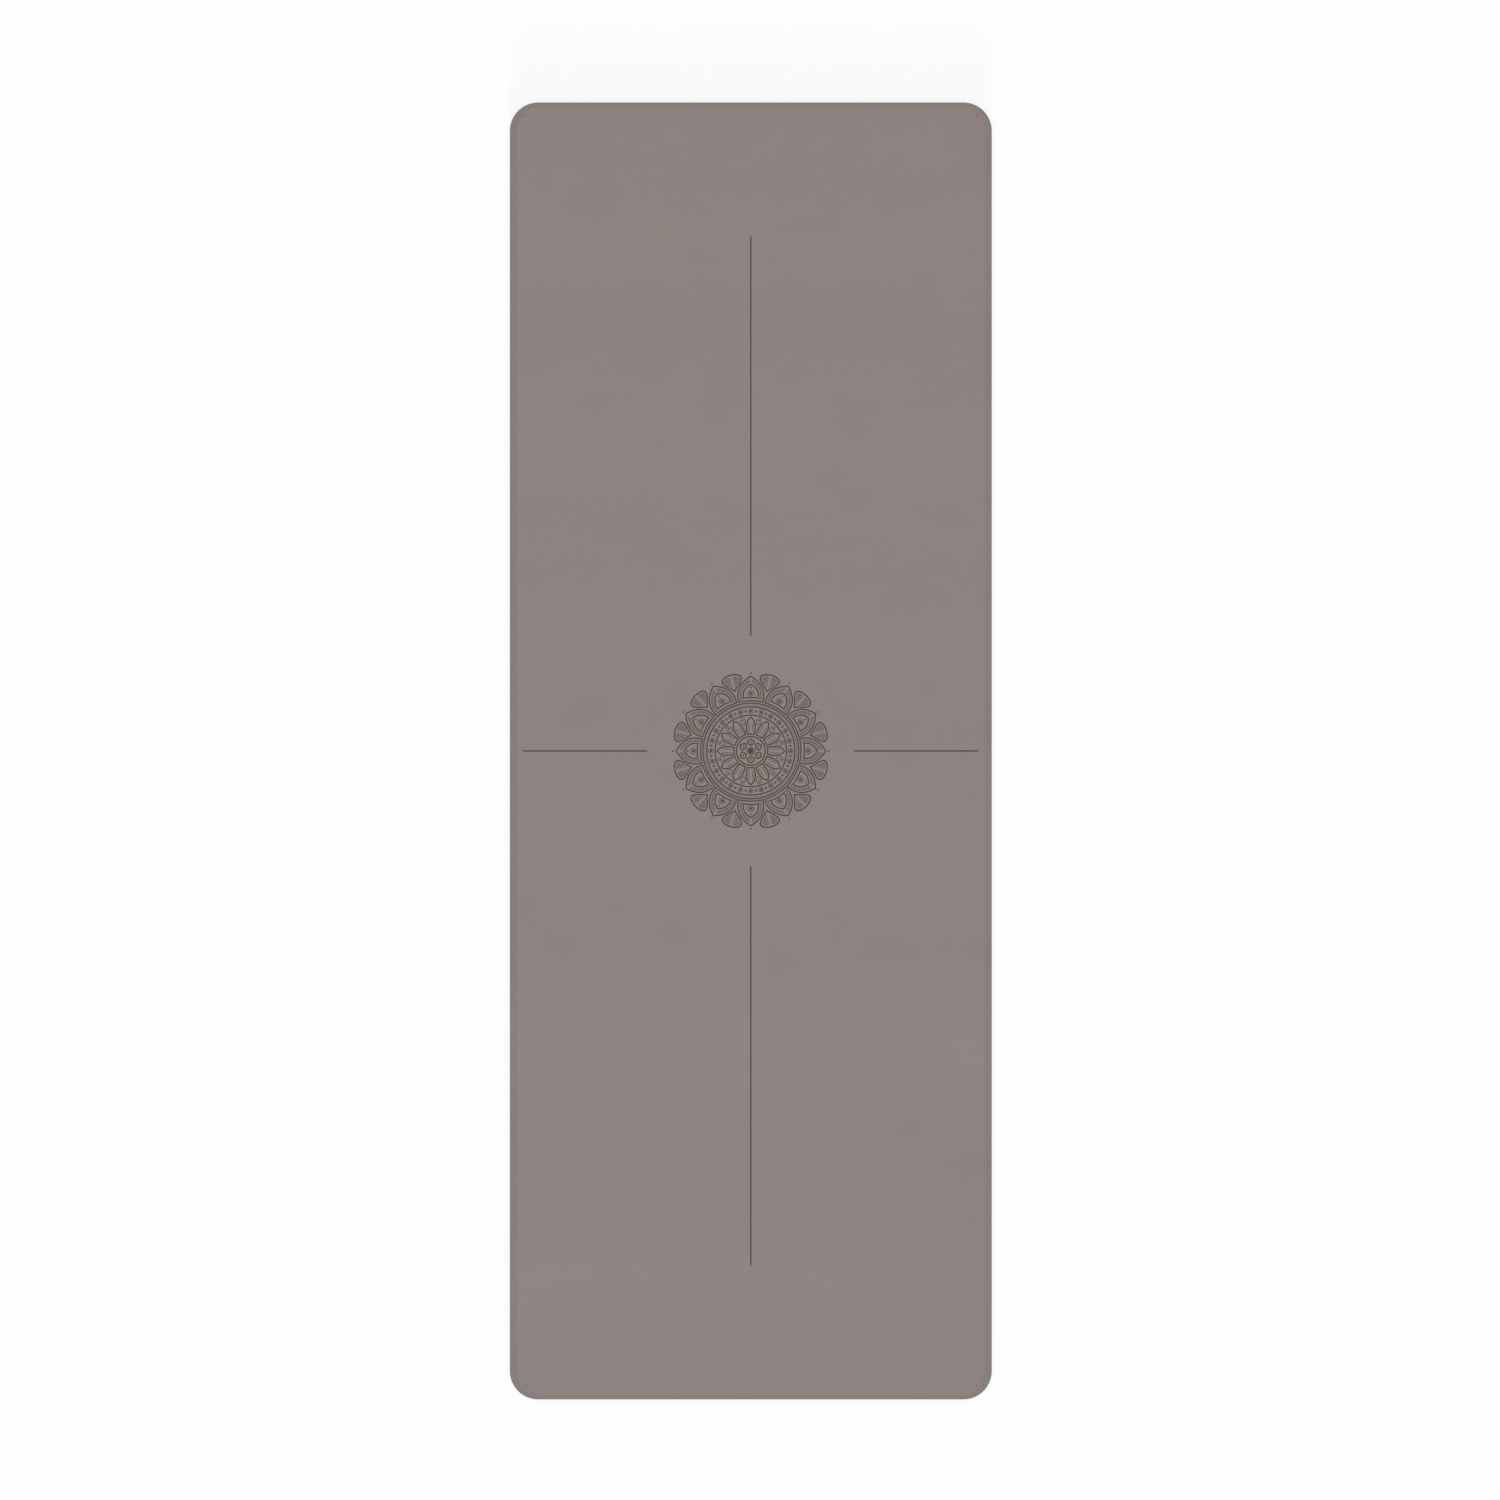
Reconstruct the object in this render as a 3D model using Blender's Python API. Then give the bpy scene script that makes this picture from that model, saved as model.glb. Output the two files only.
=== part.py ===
"""Exercise mat: three bonded layers, with alignment lines and a round ornament etched on top.

A natural rubber base, a thin fabric backing and a polyurethane skin are glued together
and then die cut to one outline. Metres, +Z up. The origin is on the floor under the
middle of the mat, the length runs along Y, and the skin faces up.
"""

import math

import bmesh
import bpy

# Outline, one size for all layers, because they are cut together
MAT_LENGTH = 1.830
MAT_WIDTH = 0.680
CORNER_RADIUS = 0.040
CORNER_SEGMENTS = 16

# Layers from the floor up, with a film of glue under each upper one
BASE_THICKNESS = 0.0034
BACKING_THICKNESS = 0.0004
SKIN_THICKNESS = 0.0010
GLUE_FILM = 0.0001

# Edges: the skin rolls down towards its cut, the rubber is eased, the fabric draws back
RIM_WIDTH = 0.007
RIM_DROP = 0.0003
SKIN_EDGE_ROUND = 0.0003
BASE_EDGE_ROUND = 0.0006
BACKING_DRAW_BACK = 0.0002
EDGE_SEGMENTS = 2

# Etching: all of it is one shallow depth, cut from just above the skin
ETCH_DEPTH = 0.0003
CUT_OVERRUN = 0.0010
WELD_DISTANCE = 0.00001

# Alignment lines, from the ornament towards the ends and the sides
LINE_WIDTH = 0.0018
LONG_LINE_CLEARANCE = 0.0510
LONG_LINE_END_MARGIN = 0.1890
CROSS_LINE_CLEARANCE = 0.0345
CROSS_LINE_SIDE_MARGIN = 0.0190

# Ornament: a rosette of two rows of pointed petals, with rings, beads and a small flower
ORNAMENT_RADIUS = 0.1115
STROKE_WIDTH = 0.0013
PETAL_GAP = 0.0012
BEAD_RADIUS = 0.0019
SEED_RADIUS = 0.0030
RING_FACET = 0.0075
PETAL_COUNT = 12
BEAD_COUNT = 24
SEED_LEAF_COUNT = 6
BEAD_SEGMENTS = 8

# Outer radii of the rings, then the places of the bead row and of the beads in the front
# petals, all as shares of the ornament's radius
RING_shares = (0.605, 0.570, 0.460, 0.190)
BEAD_ROW_share = 0.509
HEART_BEAD_share = 0.725

# Petals stand on a wide base: base and tip as shares of the ornament's radius, then the
# width at the base as a share of one petal's room
FRONT_PETAL_shares = (0.625, 0.925, 1.00)
FRONT_HEART_shares = (0.665, 0.835, 0.62)
MIDDLE_PETAL_shares = (0.210, 0.435, 1.00)

# Leaves close to a point at both ends: base and tip, then the greatest width, as above.
# The back leaves stand in the notches between the front petals.
BACK_LEAF_shares = (0.765, 1.000, 0.45)
SEED_LEAF_shares = (0.048, 0.158, 0.85)

# How the sides of a petal and of a leaf curve, as powers of the distance along them
PETAL_FULL = 2.2
PETAL_CLOSE = 0.8
LEAF_SWELL = 1.10
LEAF_CLOSE = 1.20
SIDE_SPACING = 0.8

# Points along one side of each motif, and along a petal's base
LARGE_PETAL_STEPS = 7
SMALL_PETAL_STEPS = 5
BACK_LEAF_STEPS = 7
SEED_LEAF_STEPS = 5
BASE_STEPS = 3

# Shading: a side is steeper than this slope, and an edge sharper than this angle shows
UPRIGHT_SLOPE = 0.5
SHARP_ANGLE = math.radians(20)

# Finishes: linear colour and roughness
RUBBER_FINISH = ((0.030, 0.029, 0.028, 1.0), 0.85)
FABRIC_FINISH = ((0.300, 0.285, 0.270, 1.0), 0.95)
SKIN_FINISH = ((0.266, 0.227, 0.220, 1.0), 0.60)


def remove_all_objects():
    for old in list(bpy.data.objects):
        bpy.data.objects.remove(old, do_unlink=True)


def new_collection(name):
    collection = bpy.data.collections.new(name)
    bpy.context.scene.collection.children.link(collection)
    return collection


def new_material(name, finish):
    colour, roughness = finish
    material = bpy.data.materials.new(name)
    material.use_nodes = True
    shader = material.node_tree.nodes["Principled BSDF"]
    shader.inputs["Base Color"].default_value = colour
    shader.inputs["Roughness"].default_value = roughness
    shader.inputs["Metallic"].default_value = 0.0
    return material


def edges_round_the_rim(bm, facing):
    """The edges where the upright sides meet the faces that look up (1) or down (-1)."""
    chosen = []
    for edge in bm.edges:
        slopes = [face.normal.z * facing for face in edge.link_faces]
        has_side = any(abs(slope) < UPRIGHT_SLOPE for slope in slopes)
        has_flat = any(slope > UPRIGHT_SLOPE for slope in slopes)
        if has_side and has_flat:
            chosen.append(edge)
    return chosen


def slab(inset, thickness):
    """A flat sheet with the mat's outline, drawn in by inset, standing on the plane z = 0."""
    bm = bmesh.new()
    bmesh.ops.create_cube(bm, size=1.0)
    size = (MAT_WIDTH - 2 * inset, MAT_LENGTH - 2 * inset, thickness)
    bmesh.ops.scale(bm, vec=size, verts=bm.verts)
    bmesh.ops.translate(bm, vec=(0, 0, thickness / 2), verts=bm.verts)
    upright = [edge for edge in bm.edges if edge.verts[0].co.z != edge.verts[1].co.z]
    bmesh.ops.bevel(
        bm,
        geom=upright,
        offset=CORNER_RADIUS - inset,
        segments=CORNER_SEGMENTS,
        profile=0.5,
        affect="EDGES",
    )
    bm.normal_update()
    return bm


def roll_down_rim(bm):
    """Lowers the top face towards its outline, as a skin pressed down along its rim."""
    top = max(bm.faces, key=lambda face: face.normal.z * face.calc_area())
    bmesh.ops.inset_region(bm, faces=[top], thickness=RIM_WIDTH, use_even_offset=True)
    bm.normal_update()
    outline = {vert for edge in edges_round_the_rim(bm, 1) for vert in edge.verts}
    for vert in outline:
        vert.co.z -= RIM_DROP
    bm.normal_update()


def ease_edge(bm, facing, radius):
    bmesh.ops.bevel(
        bm,
        geom=edges_round_the_rim(bm, facing),
        offset=radius,
        segments=EDGE_SEGMENTS,
        profile=0.5,
        affect="EDGES",
    )


def add_layer(name, bm, height, material, parent, collection):
    mesh = bpy.data.meshes.new(name)
    bm.to_mesh(mesh)
    bm.free()
    mesh.shade_smooth()
    mesh.set_sharp_from_angle(angle=SHARP_ANGLE)
    mesh.materials.append(material)
    layer = bpy.data.objects.new(name, mesh)
    layer.location.z = height
    layer.parent = parent
    collection.objects.link(layer)
    return layer


def point_at(radius, angle):
    return (radius * math.cos(angle), radius * math.sin(angle))


def circle(radius, segments, centre=(0, 0)):
    loop = []
    for step in range(segments):
        x, y = point_at(radius, math.tau * step / segments)
        loop.append((centre[0] + x, centre[1] + y))
    return loop


def rectangle(x_low, y_low, x_high, y_high):
    return [(x_low, y_low), (x_high, y_low), (x_high, y_high), (x_low, y_high)]


def offset_loop(loop, distance):
    """The anticlockwise loop moved out by distance, with its corners mitred."""
    moved = []
    for index, (x, y) in enumerate(loop):
        before = loop[index - 1]
        after = loop[(index + 1) % len(loop)]
        normals = []
        for start, end in ((before, (x, y)), ((x, y), after)):
            length = math.dist(start, end)
            normals.append(((end[1] - start[1]) / length, (start[0] - end[0]) / length))
        (ax, ay), (bx, by) = normals
        stretch = distance / (1 + ax * bx + ay * by)
        moved.append((x + (ax + bx) * stretch, y + (ay + by) * stretch))
    return moved


def stroke_round(loop):
    """The two edges of a stroke that is drawn along the inside of a closed loop."""
    return [loop, offset_loop(loop, -STROKE_WIDTH)]


def sides_to_tip(middle, base, tip, half_angle_at, steps):
    """The right and the left side of a petal or leaf, both from the base towards the tip."""
    right, left = [], []
    for step in range(1, steps):
        along = (step / steps) ** SIDE_SPACING
        radius = base + (tip - base) * along
        half_angle = half_angle_at(along, radius)
        right.append(point_at(radius, middle - half_angle))
        left.append(point_at(radius, middle + half_angle))
    return right, left


def room_for_one(count, radius):
    """Half the angle that one of count motifs has at this radius, less half the gap."""
    return math.pi / count - PETAL_GAP / 2 / radius


def petal(shares, count, turn, steps):
    """A pointed petal on a wide base that follows the ring under it."""
    base, tip = (share * ORNAMENT_RADIUS for share in shares[:2])
    middle = math.pi / 2 + turn

    def half_angle_at(along, radius):
        return room_for_one(count, radius) * shares[2] * (1 - along**PETAL_FULL) ** PETAL_CLOSE

    right, left = sides_to_tip(middle, base, tip, half_angle_at, steps)
    corner = half_angle_at(0, base)
    foot = []
    for step in range(BASE_STEPS + 1):
        foot.append(point_at(base, middle + corner * (1 - 2 * step / BASE_STEPS)))
    return [*foot, *right, point_at(tip, middle), *reversed(left)]


def leaf(shares, count, turn, steps):
    """A leaf that closes to a point at its base and at its tip."""
    base, tip = (share * ORNAMENT_RADIUS for share in shares[:2])
    middle = math.pi / 2 + turn
    widest = LEAF_SWELL / (LEAF_SWELL + LEAF_CLOSE)
    peak = widest**LEAF_SWELL * (1 - widest) ** LEAF_CLOSE

    def half_angle_at(along, radius):
        swell = along**LEAF_SWELL * (1 - along) ** LEAF_CLOSE / peak
        return room_for_one(count, radius) * shares[2] * swell

    right, left = sides_to_tip(middle, base, tip, half_angle_at, steps)
    return [point_at(base, middle), *right, point_at(tip, middle), *reversed(left)]


def row_of(motif, shares, count, steps, first_turn=0):
    """Strokes round count equal motifs, the first one turned away from the mat's length."""
    loops = []
    for number in range(count):
        turn = first_turn + math.tau * number / count
        loops += stroke_round(motif(shares, count, turn, steps))
    return loops


def rings():
    loops = []
    for share in RING_shares:
        outer = share * ORNAMENT_RADIUS
        segments = 2 * math.ceil(math.pi * outer / RING_FACET)
        loops.append(circle(outer, segments))
        loops.append(circle(outer - STROKE_WIDTH, segments))
    return loops


def beads():
    """The seed in the middle, the row between the rings and one bead in each front petal."""
    loops = [circle(SEED_RADIUS, BEAD_SEGMENTS)]
    for share, count in ((BEAD_ROW_share, BEAD_COUNT), (HEART_BEAD_share, PETAL_COUNT)):
        for number in range(count):
            centre = point_at(share * ORNAMENT_RADIUS, math.tau * number / count)
            loops.append(circle(BEAD_RADIUS, BEAD_SEGMENTS, centre))
    return loops


def alignment_lines():
    """Two long lines on the mat's centre line and two short ones across it."""
    half = LINE_WIDTH / 2
    long_start = ORNAMENT_RADIUS + LONG_LINE_CLEARANCE
    long_end = MAT_LENGTH / 2 - LONG_LINE_END_MARGIN
    cross_start = ORNAMENT_RADIUS + CROSS_LINE_CLEARANCE
    cross_end = MAT_WIDTH / 2 - CROSS_LINE_SIDE_MARGIN
    return [
        rectangle(-half, long_start, half, long_end),
        rectangle(-half, -long_end, half, -long_start),
        rectangle(cross_start, -half, cross_end, half),
        rectangle(-cross_end, -half, -cross_start, half),
    ]


def add_cutter(name, loops, surface, collection):
    """A closed solid on the given loops, from below the surface by the etching's depth."""
    height = ETCH_DEPTH + CUT_OVERRUN
    curve = bpy.data.curves.new(name, "CURVE")
    curve.dimensions = "2D"
    curve.fill_mode = "BOTH"
    curve.extrude = height / 2
    for loop in loops:
        spline = curve.splines.new("POLY")
        spline.points.add(len(loop) - 1)
        for point, (x, y) in zip(spline.points, loop):
            point.co = (x, y, 0, 1)
        spline.use_cyclic_u = True
    drawn = bpy.data.objects.new(name + "_outline", curve)
    collection.objects.link(drawn)
    drawn.location.z = surface - ETCH_DEPTH + height / 2
    depsgraph = bpy.context.evaluated_depsgraph_get()
    mesh = bpy.data.meshes.new_from_object(drawn.evaluated_get(depsgraph))
    bm = bmesh.new()
    bm.from_mesh(mesh)
    bmesh.ops.remove_doubles(bm, verts=bm.verts, dist=WELD_DISTANCE)
    bm.to_mesh(mesh)
    bm.free()
    cutter = bpy.data.objects.new(name, mesh)
    cutter.matrix_world = drawn.matrix_world
    bpy.data.objects.remove(drawn)
    cutter.hide_render = True
    cutter.display_type = "WIRE"
    collection.objects.link(cutter)
    return cutter


def etch(layer, cutter):
    cut = layer.modifiers.new(cutter.name, "BOOLEAN")
    cut.operation = "DIFFERENCE"
    cut.solver = "EXACT"
    cut.object = cutter


def build_mat():
    remove_all_objects()
    mat_parts = new_collection("exercise_mat")
    cutters = new_collection("exercise_mat_cutters")
    mat = bpy.data.objects.new("exercise_mat", None)
    mat_parts.objects.link(mat)

    base = slab(0, BASE_THICKNESS)
    ease_edge(base, -1, BASE_EDGE_ROUND)
    rubber = new_material("natural_rubber", RUBBER_FINISH)
    add_layer("rubber_base", base, 0, rubber, mat, mat_parts)

    backing_height = BASE_THICKNESS + GLUE_FILM
    backing = slab(BACKING_DRAW_BACK, BACKING_THICKNESS)
    fabric = new_material("backing_fabric", FABRIC_FINISH)
    add_layer("fabric_backing", backing, backing_height, fabric, mat, mat_parts)

    skin_height = backing_height + BACKING_THICKNESS + GLUE_FILM
    skin = slab(0, SKIN_THICKNESS)
    roll_down_rim(skin)
    ease_edge(skin, 1, SKIN_EDGE_ROUND)
    polyurethane = new_material("polyurethane", SKIN_FINISH)
    skin = add_layer("polyurethane_skin", skin, skin_height, polyurethane, mat, mat_parts)

    surface = skin_height + SKIN_THICKNESS
    etchings = {
        "line_cutter": alignment_lines(),
        "ring_cutter": rings(),
        "bead_cutter": beads(),
        "front_petal_cutter": row_of(
            petal, FRONT_PETAL_shares, PETAL_COUNT, LARGE_PETAL_STEPS
        ),
        "front_heart_cutter": row_of(
            petal, FRONT_HEART_shares, PETAL_COUNT, SMALL_PETAL_STEPS
        ),
        "back_leaf_cutter": row_of(
            leaf, BACK_LEAF_shares, PETAL_COUNT, BACK_LEAF_STEPS, math.pi / PETAL_COUNT
        ),
        "middle_petal_cutter": row_of(
            petal, MIDDLE_PETAL_shares, PETAL_COUNT, SMALL_PETAL_STEPS
        ),
        "seed_leaf_cutter": row_of(
            leaf, SEED_LEAF_shares, SEED_LEAF_COUNT, SEED_LEAF_STEPS
        ),
    }
    for name, loops in etchings.items():
        etch(skin, add_cutter(name, loops, surface, cutters))


build_mat()
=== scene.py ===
import math

import bmesh
import bpy
from mathutils import Matrix, Vector, geometry


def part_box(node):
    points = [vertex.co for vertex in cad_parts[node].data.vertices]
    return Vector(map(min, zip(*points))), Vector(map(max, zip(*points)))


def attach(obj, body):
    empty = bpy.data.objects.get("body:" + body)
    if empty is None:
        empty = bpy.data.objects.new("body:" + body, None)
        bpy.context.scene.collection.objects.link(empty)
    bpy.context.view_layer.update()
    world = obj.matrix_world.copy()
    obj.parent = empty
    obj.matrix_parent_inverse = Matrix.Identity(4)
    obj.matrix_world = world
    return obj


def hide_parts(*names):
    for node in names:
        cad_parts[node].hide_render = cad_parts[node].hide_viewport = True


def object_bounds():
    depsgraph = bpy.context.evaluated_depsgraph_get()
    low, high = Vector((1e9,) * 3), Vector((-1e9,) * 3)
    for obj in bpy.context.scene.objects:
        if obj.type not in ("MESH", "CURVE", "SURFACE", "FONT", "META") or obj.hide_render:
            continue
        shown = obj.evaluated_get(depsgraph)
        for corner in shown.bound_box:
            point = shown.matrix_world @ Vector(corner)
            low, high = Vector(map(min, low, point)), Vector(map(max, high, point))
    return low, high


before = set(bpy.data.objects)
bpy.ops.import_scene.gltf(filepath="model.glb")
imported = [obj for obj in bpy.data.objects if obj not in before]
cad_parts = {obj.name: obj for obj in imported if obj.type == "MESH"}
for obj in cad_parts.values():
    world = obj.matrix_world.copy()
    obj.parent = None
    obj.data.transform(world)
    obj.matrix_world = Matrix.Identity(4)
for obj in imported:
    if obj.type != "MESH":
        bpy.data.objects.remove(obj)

cad_low, cad_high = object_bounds()
mat_width = cad_high.x - cad_low.x
mat_length = cad_high.y - cad_low.y


# Camera: it hangs straight above the mat, far enough away for a flat and square view.
# The pixel places are the mat's four edges in the photograph.
PHOTO_PIXELS = 1500
LEFT_PIXEL = 509.85
RIGHT_PIXEL = 991.77
TOP_PIXEL = 102.42
BOTTOM_PIXEL = 1399.47
LENS = 100.0
SENSOR = 36.0

metres_a_pixel = mat_length / (BOTTOM_PIXEL - TOP_PIXEL)
mat_right_of_middle = (LEFT_PIXEL + RIGHT_PIXEL - PHOTO_PIXELS) / 2
mat_below_middle = (TOP_PIXEL + BOTTOM_PIXEL - PHOTO_PIXELS) / 2
scene = bpy.context.scene
lens_data = bpy.data.cameras.new("overhead_camera")
lens_data.lens = LENS
lens_data.sensor_width = SENSOR
camera = bpy.data.objects.new("overhead_camera", lens_data)
camera.location = (
    -mat_right_of_middle * metres_a_pixel,
    mat_below_middle * metres_a_pixel,
    cad_high.z + PHOTO_PIXELS * metres_a_pixel * LENS / SENSOR,
)
scene.collection.objects.link(camera)
scene.camera = camera


# Studio: a white floor under an even white sky, with a soft lamp high over the foot end. A
# weak lamp close to the floor lights the floor alone, for the long faint shadow at the head.
FLOOR_SIZE = 60.0
FLOOR_GAP = 0.0002
FLOOR_WHITE = 0.99
FLOOR_SHADED_SHARE = 0.17
SKY_SHARE = 0.79
HIGH_LAMP_SHARE = 0.14
HIGH_LAMP_ELEVATION = math.radians(60)
HIGH_LAMP_TURN = math.radians(-14)
HIGH_LAMP_SPREAD = math.radians(24)
LOW_LAMP_SHARE = 0.20
LOW_LAMP_ELEVATION = math.radians(2.6)
LOW_LAMP_SPREAD = math.radians(4.6)


def new_node(tree, kind, settings=None, **inputs):
    """A node with its settings and with the inputs that are named by keyword."""
    node = tree.nodes.new(kind)
    for name, value in (settings or {}).items():
        setattr(node, name, value)
    for name, value in inputs.items():
        node.inputs[name.replace("_", " ")].default_value = value
    return node


def link(tree, source, target):
    """Joins an output to an input, each given as a node and the socket's name or number."""
    tree.links.new(source[0].outputs[source[1]], target[0].inputs[target[1]])


def add_lamp(name, share, elevation, turn, spread):
    """A far lamp that gives level ground this share of full white light."""
    data = bpy.data.lights.new(name, "SUN")
    data.energy = share * math.pi / math.sin(elevation)
    data.angle = spread
    lamp = bpy.data.objects.new(name, data)
    lamp.rotation_euler = (math.pi / 2 - elevation, 0, turn)
    scene.collection.objects.link(lamp)
    return lamp


add_lamp("high_lamp", HIGH_LAMP_SHARE, HIGH_LAMP_ELEVATION, HIGH_LAMP_TURN, HIGH_LAMP_SPREAD)
low_lamp = add_lamp("low_lamp", LOW_LAMP_SHARE, LOW_LAMP_ELEVATION, 0, LOW_LAMP_SPREAD)

world = bpy.data.worlds.new("studio_sky")
world.use_nodes = True
scene.world = world
sky = world.node_tree
sky.nodes.clear()
sky_light = new_node(sky, "ShaderNodeBackground", Color=(1, 1, 1, 1), Strength=SKY_SHARE)
sky_seen = new_node(sky, "ShaderNodeBackground", Color=(1, 1, 1, 1), Strength=1.0)
sky_rays = new_node(sky, "ShaderNodeLightPath")
seen_or_mirrored = new_node(sky, "ShaderNodeMath", {"operation": "MAXIMUM"})
seen_any_way = new_node(sky, "ShaderNodeMath", {"operation": "MAXIMUM"})
sky_mix = new_node(sky, "ShaderNodeMixShader")
sky_out = new_node(sky, "ShaderNodeOutputWorld")
link(sky, (sky_rays, "Is Camera Ray"), (seen_or_mirrored, 0))
link(sky, (sky_rays, "Is Glossy Ray"), (seen_or_mirrored, 1))
link(sky, (seen_or_mirrored, 0), (seen_any_way, 0))
link(sky, (sky_rays, "Is Transmission Ray"), (seen_any_way, 1))
link(sky, (seen_any_way, 0), (sky_mix, 0))
link(sky, (sky_light, 0), (sky_mix, 1))
link(sky, (sky_seen, 0), (sky_mix, 2))
link(sky, (sky_mix, 0), (sky_out, "Surface"))

floor_mesh = bpy.data.meshes.new("studio_floor")
half = FLOOR_SIZE / 2
floor_corners = [(-half, -half, 0), (half, -half, 0), (half, half, 0), (-half, half, 0)]
floor_mesh.from_pydata(floor_corners, [], [(0, 1, 2, 3)])
floor = bpy.data.objects.new("studio_floor", floor_mesh)
floor.location.z = cad_low.z - FLOOR_GAP
floor.visible_diffuse = False
floor.visible_shadow = False
lit_by_low_lamp = bpy.data.collections.new("lit_by_low_lamp")
lit_by_low_lamp.objects.link(floor)
low_lamp.light_linking.receiver_collection = lit_by_low_lamp
scene.collection.objects.link(floor)

floor_paint = bpy.data.materials.new("studio_floor")
floor_paint.use_nodes = True
floor_paint.cycles.emission_sampling = "NONE"
paint = floor_paint.node_tree
paint.nodes.clear()
floor_lit = FLOOR_SHADED_SHARE * (SKY_SHARE + HIGH_LAMP_SHARE + LOW_LAMP_SHARE)
floor_glow = new_node(paint, "ShaderNodeEmission", Color=(1, 1, 1, 1), Strength=FLOOR_WHITE - floor_lit)
floor_grey = (FLOOR_SHADED_SHARE, FLOOR_SHADED_SHARE, FLOOR_SHADED_SHARE, 1)
floor_shaded = new_node(paint, "ShaderNodeBsdfDiffuse", Color=floor_grey)
floor_top = new_node(paint, "ShaderNodeAddShader")
floor_below = new_node(paint, "ShaderNodeBsdfTransparent")
floor_side = new_node(paint, "ShaderNodeNewGeometry")
floor_mix = new_node(paint, "ShaderNodeMixShader")
floor_out = new_node(paint, "ShaderNodeOutputMaterial")
link(paint, (floor_glow, 0), (floor_top, 0))
link(paint, (floor_shaded, 0), (floor_top, 1))
link(paint, (floor_side, "Backfacing"), (floor_mix, 0))
link(paint, (floor_top, 0), (floor_mix, 1))
link(paint, (floor_below, 0), (floor_mix, 2))
link(paint, (floor_mix, 0), (floor_out, "Surface"))
floor_mesh.materials.append(floor_paint)
scene.view_settings.view_transform = "Standard"


# Rubber base: foamed natural rubber, cured in a mould whose floor leaves the honeycomb grip
# underneath. The whole sandwich is die cut from the roll, so the grip runs out at the edge.
CORNER_RADIUS = 0.040
CORNER_STEPS = 20
OUTLINE_SPACING = 0.010
NET_SPACING = 0.020
BASE_EDGE_ROUND = 0.0006
EDGE_ROUND_STEPS = 3
GRIP_PITCH = 0.013
GRIP_GROOVE = 0.0026
GRIP_DEPTH = 0.0005
SHARP_ANGLE = math.radians(35)
MILLIMETRES_A_METRE = 1000
MERGE_MILLIMETRES = 0.01
FACES_INSIDE_LOOPS = 1

# The mat keeps soft waves from having been rolled up: for each, its place as a share of the
# half length, its breadth in metres and its height as a share of the highest
ROLL_WAVES = (
    (-0.825, 0.070, 0.85),
    (-0.46, 0.075, 1.00),
    (-0.14, 0.060, 0.65),
    (0.17, 0.055, 0.50),
    (0.48, 0.055, 0.50),
    (0.79, 0.055, 0.35),
)
ROLL_WAVE_HEIGHT = 0.0006
ROLL_WAVE_SLANT = 0.02

base_low, base_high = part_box("rubber_base")
core_x = mat_width / 2 - CORNER_RADIUS
core_y = mat_length / 2 - CORNER_RADIUS


def lift(x, y):
    """How far the mat stands off the floor here, as a share of its highest wave."""
    height = 0
    for place, breadth, share in ROLL_WAVES:
        along = (y + x * ROLL_WAVE_SLANT - place * mat_length / 2) / breadth
        height += share * math.exp(-along * along)
    return height


def outline(side_inset=0, end_inset=None, spacing=OUTLINE_SPACING):
    """Plan points round the mat, anticlockwise, drawn in from its sides and its ends."""
    end_inset = side_inset if end_inset is None else end_inset
    steps_x = math.ceil(2 * core_x / spacing)
    steps_y = math.ceil(2 * core_y / spacing)
    corner_steps = max(CORNER_STEPS, math.ceil(math.pi / 2 * CORNER_RADIUS / spacing))
    points = []
    for quarter, (side_x, side_y) in enumerate(((1, 1), (-1, 1), (-1, -1), (1, -1))):
        middle = Vector((side_x * core_x, side_y * core_y))
        for step in range(corner_steps + 1):
            angle = (quarter + step / corner_steps) * math.pi / 2
            reach_x = (CORNER_RADIUS - side_inset) * math.cos(angle)
            reach_y = (CORNER_RADIUS - end_inset) * math.sin(angle)
            points.append(middle + Vector((reach_x, reach_y)))
        straight = steps_y if quarter % 2 else steps_x
        way = Vector((0, -side_y * core_y)) if quarter % 2 else Vector((-side_x * core_x, 0))
        points += [points[-1] + 2 * way * step / straight for step in range(1, straight)]
    return points


def from_core(x, y):
    """The way to this plan point from the nearest one inside the corners' centres."""
    return Vector((x - max(-core_x, min(core_x, x)), y - max(-core_y, min(core_y, y))))


def net_inside(margin):
    """A net of plan points that keeps this far inside the outline."""
    rows = round(mat_length / NET_SPACING)
    columns = round(mat_width / NET_SPACING)
    points = []
    for row in range(1, rows):
        for column in range(1, columns):
            x = (column / columns - 0.5) * mat_width
            y = (row / rows - 0.5) * mat_length
            if from_core(x, y).length < CORNER_RADIUS - margin:
                points.append(Vector((x, y)))
    return points


def closed_lines(first, count):
    """The lines that close a loop of points which are numbered from first."""
    return [(first + step, first + (step + 1) % count) for step in range(count)]


def triangles(points, lines, rim_count):
    """Plan points and triangles that keep the lines and fill the loop of the first rim_count points.

    Also gives the number in points that each plan point comes from, or None at a crossing.
    """
    in_millimetres = [point * MILLIMETRES_A_METRE for point in points]
    rim = list(range(rim_count))
    plan, _, faces, origins, _, fills = geometry.delaunay_2d_cdt(
        in_millimetres, lines, [rim], FACES_INSIDE_LOOPS, MERGE_MILLIMETRES, True
    )
    plan = [point / MILLIMETRES_A_METRE for point in plan]
    faces = [face for face, fill in zip(faces, fills) if fill]
    return plan, faces, [found[0] if found else None for found in origins]


def ring_of(bm, points, height):
    """Loose vertices over the plan points, all at one height."""
    return [bm.verts.new((*point, height)) for point in points]


def ring_over(bm, ring, heights, distance=0):
    """A second ring of vertices over a first one, moved out square to the mat's outline."""
    made = []
    for vert, height in zip(ring, heights):
        x, y = vert.co.xy + from_core(*vert.co.xy).normalized() * distance
        made.append(bm.verts.new((x, y, height)))
    return made


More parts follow.
